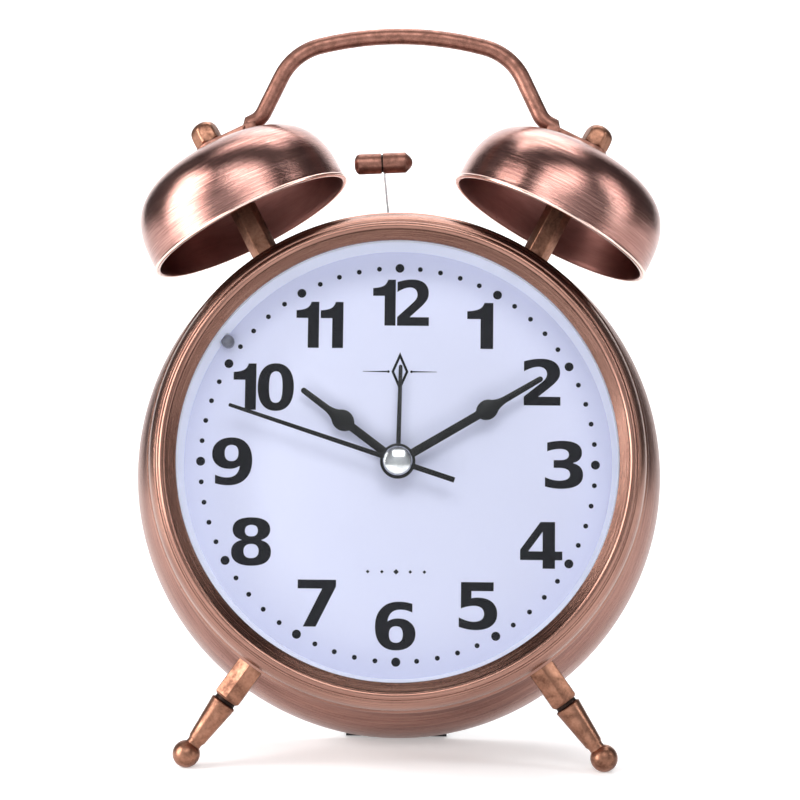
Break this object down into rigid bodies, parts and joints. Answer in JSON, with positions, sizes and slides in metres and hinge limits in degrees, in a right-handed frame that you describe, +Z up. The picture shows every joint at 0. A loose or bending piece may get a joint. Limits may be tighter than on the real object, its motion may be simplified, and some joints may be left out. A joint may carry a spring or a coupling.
{
  "type": "twin-bell alarm clock",
  "caption": "Twin-bell alarm clock in antique copper: round leaning case on two ball feet, white dial with numerals, hands, a hammer between the bells and a carrying handle.",
  "frame": {"origin": "middle of the footprint of the bounding box, on the plane the two ball feet and the pad of the back cover rest on", "axes": "+Z up, the dial faces -Y and leans back 9.7 degrees, +X to the right as seen from the front"},
  "size_m": [0.1248, 0.0706, 0.1667],
  "materials": {
    "copper": "antique copper plate, brushed",
    "bell_copper": "antique copper plate, brushed round the bell",
    "turned_brass": "antique copper-brass, turned",
    "steel": "bright steel",
    "chrome": "polished",
    "glass": "clear",
    "dial_white": "satin white",
    "white_plastic": "satin",
    "black_plastic": "fine textured",
    "black_gloss": "gloss",
    "black_paint": "black enamel",
    "gear_plastic": "natural acetal",
    "brass": "turned",
    "copper_wire": "enamelled wire",
    "board": "solder resist",
    "led": "translucent",
    "cell": "printed sleeve"
  },
  "bodies": {
    "clock": {"alarm_motor": "steel", "back_cover": "black_plastic", "batteries": "cell", "battery_contacts": "chrome", "battery_springs": "chrome", "bell_left": "bell_copper", "bell_post_left": "turned_brass", "bell_post_right": "turned_brass", "bell_right": "bell_copper", "bell_washers": "black_plastic", "bracket_screws": "steel", "carry_handle": "turned_brass", "case_shell": "copper", "circuit_board": "board", "cover_screws": "steel", "crank_axle": "steel", "dial_frame": "white_plastic", "dial_plate": "dial_white", "drive_coil": "copper_wire", "finial_left": "turned_brass", "finial_right": "turned_brass", "front_bezel": "copper", "front_glass": "glass", "hammer_bracket": "steel", "hammer_pivot_pin": "steel", "leg_left": "turned_brass", "leg_nuts": "steel", "leg_right": "turned_brass", "movement_cover": "white_plastic", "movement_housing": "black_plastic", "night_light_led": "led", "post_nuts": "steel", "quartz_crystal": "steel", "reflector_ring": "white_plastic", "stator": "steel"},
    "second": {"second_hand": "black_paint", "hub_cap": "chrome", "second_arbor": "steel", "second_wheel": "gear_plastic"},
    "intermediate": {"intermediate_wheel": "gear_plastic"},
    "rotor": {"rotor": "gear_plastic"},
    "minute": {"minute_hand": "black_paint", "cannon_pinion": "gear_plastic"},
    "hour": {"hour_hand": "black_paint", "hour_wheel": "gear_plastic"},
    "time_set": {"minute_wheel": "gear_plastic", "time_knob": "black_gloss"},
    "alarm": {"alarm_hand": "black_paint", "alarm_wheel": "gear_plastic"},
    "alarm_set": {"alarm_set_pinion": "gear_plastic", "alarm_knob": "black_gloss"},
    "hammer": {"hammer_arm": "black_gloss", "hammer_wire": "steel", "hammer_head": "turned_brass"},
    "crank": {"crank_gear": "gear_plastic"},
    "motor_shaft": {"motor_pinion": "brass"},
    "switch": {"alarm_switch": "black_gloss"},
    "light_button": {"light_button": "black_gloss"},
    "battery_door": {"battery_door": "black_plastic"}
  },
  "joints": [
    {"name": "second_spin", "type": "hinge", "parent": "clock", "child": "second", "pos_m": [0, -0.01155, 0.06781], "axis": [0, 0.9857, -0.1686], "continuous": true},
    {"name": "intermediate_spin", "type": "hinge", "parent": "clock", "child": "intermediate", "pos_m": [0, -0.01317, 0.05835], "axis": [0, 0.9857, -0.1686], "continuous": true},
    {"name": "rotor_spin", "type": "hinge", "parent": "clock", "child": "rotor", "pos_m": [0.00748, -0.01381, 0.05458], "axis": [0, 0.9857, -0.1686], "continuous": true},
    {"name": "time_set_spin", "type": "hinge", "parent": "clock", "child": "time_set", "pos_m": [-0.012, -0.01155, 0.06781], "axis": [0, 0.9857, -0.1686], "continuous": true},
    {"name": "minute_spin", "type": "hinge", "parent": "clock", "child": "minute", "pos_m": [0, -0.01155, 0.06781], "axis": [0, 0.9857, -0.1686], "continuous": true},
    {"name": "hour_spin", "type": "hinge", "parent": "clock", "child": "hour", "pos_m": [0, -0.01155, 0.06781], "axis": [0, 0.9857, -0.1686], "continuous": true},
    {"name": "alarm_set_spin", "type": "hinge", "parent": "clock", "child": "alarm_set", "pos_m": [0.014, -0.01155, 0.06781], "axis": [0, 0.9857, -0.1686], "continuous": true},
    {"name": "alarm_hand_spin", "type": "hinge", "parent": "clock", "child": "alarm", "pos_m": [0, -0.01155, 0.06781], "axis": [0, 0.9857, -0.1686], "continuous": true},
    {"name": "crank_spin", "type": "hinge", "parent": "clock", "child": "crank", "pos_m": [0, -0.00809, 0.08802], "axis": [0, 0.9857, -0.1686], "continuous": true},
    {"name": "motor_spin", "type": "hinge", "parent": "clock", "child": "motor_shaft", "pos_m": [-0.0095, -0.00809, 0.08802], "axis": [0, 0.9857, -0.1686], "continuous": true},
    {"name": "hammer_swing", "type": "hinge", "parent": "clock", "child": "hammer", "pos_m": [0, -0.00156, 0.09654], "axis": [0, 0.9857, -0.1686], "range_deg": [-2.8, 15]},
    {"name": "alarm_switch_slide", "type": "slide", "parent": "clock", "child": "switch", "axis": [1, 0, 0], "range_m": [0, 0.0055]},
    {"name": "light_button_press", "type": "slide", "parent": "clock", "child": "light_button", "axis": [0, -0.9857, 0.1686], "range_m": [0, 0.0015], "stiffness_N_per_m": 300},
    {"name": "battery_door_hinge", "type": "hinge", "parent": "clock", "child": "battery_door", "pos_m": [0, 0.01593, 0.01583], "axis": [-1, 0, 0], "range_deg": [0, 90]}
  ],
  "couplings": [
    {"joint": "minute_spin", "follows": "time_set_spin", "ratio": -3},
    {"joint": "hour_spin", "follows": "time_set_spin", "ratio": -0.25},
    {"joint": "alarm_hand_spin", "follows": "alarm_set_spin", "ratio": -0.4},
    {"joint": "intermediate_spin", "follows": "second_spin", "ratio": -5},
    {"joint": "rotor_spin", "follows": "second_spin", "ratio": 30},
    {"joint": "motor_spin", "follows": "crank_spin", "ratio": -2.8}
  ]
}
